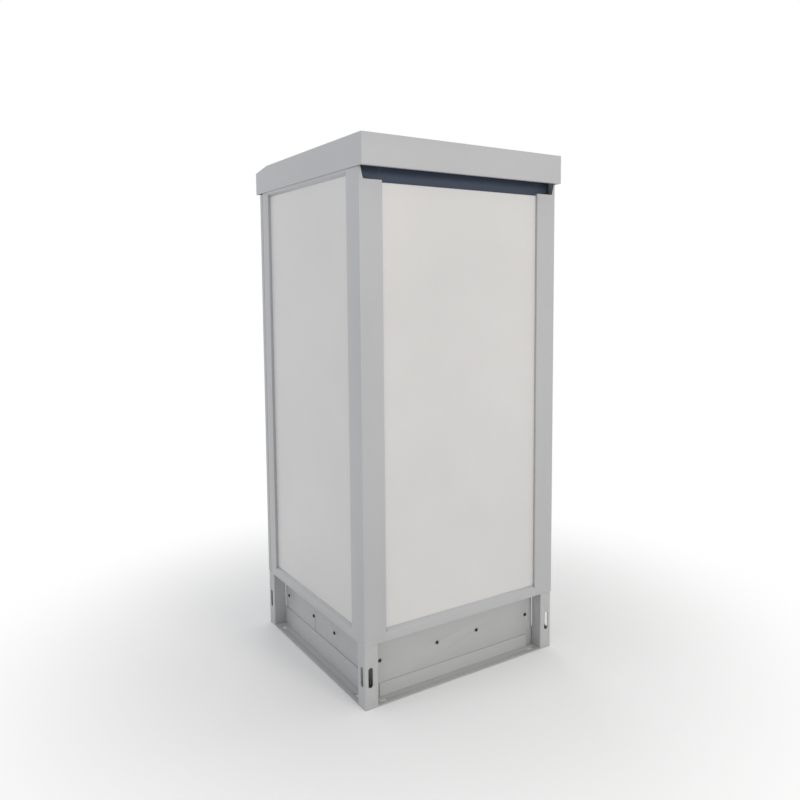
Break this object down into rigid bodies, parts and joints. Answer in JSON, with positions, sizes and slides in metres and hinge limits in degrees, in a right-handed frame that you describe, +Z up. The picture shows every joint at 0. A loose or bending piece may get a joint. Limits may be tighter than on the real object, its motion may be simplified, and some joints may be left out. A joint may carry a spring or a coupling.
{
  "type": "roadside utility cabinet",
  "caption": "Roadside equipment cabinet: folded sheet-metal body on a recessed plinth under a canted roof hood, with a hinged locking door, rack rails and roof fans inside.",
  "frame": {"origin": "middle of the footprint on the ground, under the plinth's ring, at the centre of its end anchor slots", "axes": "+Z up, +Y to the rear, door on the -Y side with its hinges at -X, +X to the right of someone facing the door"},
  "size_m": [0.7655, 0.84, 1.7],
  "materials": {
    "frame_paint": "semi-gloss powder coat, light grey",
    "panel_paint": "semi-gloss powder coat, paler grey",
    "roof_paint": "semi-gloss powder coat, light grey",
    "plinth_paint": "semi-gloss powder coat, light grey",
    "zinc_sheet": "galvanised sheet with a faint spangle",
    "vent_paint": "matt graphite powder coat",
    "bolt_steel": "blackened steel fasteners",
    "lock_zinc": "grey coated die casting",
    "lock_chrome": "satin chromed cylinder and pin",
    "black_plastic": "fine-grained black moulding",
    "gland_plastic": "grey moulding",
    "breaker_plastic": "pale grey moulding",
    "lever_plastic": "black gloss lever",
    "gasket_foam": "black foam rubber",
    "filter_fibre": "coarse pale fibre mat",
    "copper_bar": "bare copper bar with plated studs"
  },
  "bodies": {
    "cabinet": {"breaker_case_left": "breaker_plastic", "breaker_case_right": "breaker_plastic", "cable_glands": "gland_plastic", "ceiling_tray": "zinc_sheet", "din_rail": "zinc_sheet", "earth_bar": "copper_bar", "fan_frame_left": "black_plastic", "fan_frame_right": "black_plastic", "fan_guards": "zinc_sheet", "floor_pan": "zinc_sheet", "front_header": "frame_paint", "front_sill": "frame_paint", "gland_plate": "zinc_sheet", "hinge_frame_leaves": "lock_zinc", "hinge_pins": "lock_chrome", "joining_bolts": "bolt_steel", "plinth_cover_bolts": "bolt_steel", "plinth_cover_front": "plinth_paint", "plinth_cover_left_front": "plinth_paint", "plinth_cover_left_rear": "plinth_paint", "plinth_cover_rear": "plinth_paint", "plinth_cover_right_front": "plinth_paint", "plinth_cover_right_rear": "plinth_paint", "plinth_post_front_left": "plinth_paint", "plinth_post_front_right": "plinth_paint", "plinth_post_rear_left": "plinth_paint", "plinth_post_rear_right": "plinth_paint", "plinth_ring": "plinth_paint", "rack_rail_front_left": "zinc_sheet", "rack_rail_front_right": "zinc_sheet", "rack_rail_rear_left": "zinc_sheet", "rack_rail_rear_right": "zinc_sheet", "rear_bottom_rail": "frame_paint", "rear_panel": "panel_paint", "rear_top_channel": "vent_paint", "roof_brackets": "zinc_sheet", "roof_hood": "roof_paint", "side_frame_left": "frame_paint", "side_frame_right": "frame_paint", "side_panel_left": "panel_paint", "side_panel_right": "panel_paint", "vent_mesh": "vent_paint"},
    "door": {"door_frame": "frame_paint", "door_infill": "panel_paint", "door_gasket": "gasket_foam", "filter_mat": "filter_fibre", "hinge_door_leaves": "lock_zinc", "lock_base": "lock_zinc", "grip_pin": "lock_chrome", "lock_case": "zinc_sheet", "rod_guides": "black_plastic"},
    "grip": {"pull_grip": "black_plastic"},
    "lock": {"lock_cylinder": "lock_chrome", "lock_cam": "zinc_sheet"},
    "upper_rod": {"rod_upper": "zinc_sheet"},
    "lower_rod": {"rod_lower": "zinc_sheet"},
    "left_fan": {"fan_rotor_left": "black_plastic"},
    "right_fan": {"fan_rotor_right": "black_plastic"},
    "left_lever": {"breaker_lever_left": "lever_plastic"},
    "right_lever": {"breaker_lever_right": "lever_plastic"}
  },
  "joints": [
    {"name": "door_swing", "type": "hinge", "parent": "cabinet", "child": "door", "pos_m": [-0.381, -0.381, 0.905], "axis": [0, 0, -1], "range_deg": [0, 120]},
    {"name": "grip_lift", "type": "hinge", "parent": "door", "child": "grip", "pos_m": [0.335, -0.403, 1.206], "axis": [-1, 0, 0], "range_deg": [0, 40]},
    {"name": "cylinder_turn", "type": "hinge", "parent": "door", "child": "lock", "pos_m": [0.335, -0.375, 1.256], "axis": [0, -1, 0], "range_deg": [0, 90]},
    {"name": "upper_rod_slide", "type": "slide", "parent": "door", "child": "upper_rod", "axis": [0, 0, 1], "range_m": [0, 0.0142]},
    {"name": "lower_rod_slide", "type": "slide", "parent": "door", "child": "lower_rod", "axis": [0, 0, -1], "range_m": [0, 0.01414]},
    {"name": "left_fan_spin", "type": "hinge", "parent": "cabinet", "child": "left_fan", "pos_m": [-0.13, 0, 1.592], "axis": [0, 0, 1], "continuous": true},
    {"name": "right_fan_spin", "type": "hinge", "parent": "cabinet", "child": "right_fan", "pos_m": [0.13, 0, 1.592], "axis": [0, 0, 1], "continuous": true},
    {"name": "left_breaker_switch", "type": "hinge", "parent": "cabinet", "child": "left_lever", "pos_m": [-0.0091, 0.1999, 1.42], "axis": [1, 0, 0], "range_deg": [0, 80]},
    {"name": "right_breaker_switch", "type": "hinge", "parent": "cabinet", "child": "right_lever", "pos_m": [0.0091, 0.1999, 1.42], "axis": [1, 0, 0], "range_deg": [0, 80]}
  ],
  "couplings": [
    {"joint": "upper_rod_slide", "follows": "lower_rod_slide", "ratio": 1},
    {"joint": "cylinder_turn", "follows": "lower_rod_slide", "rad_per_m": 111.07}
  ]
}
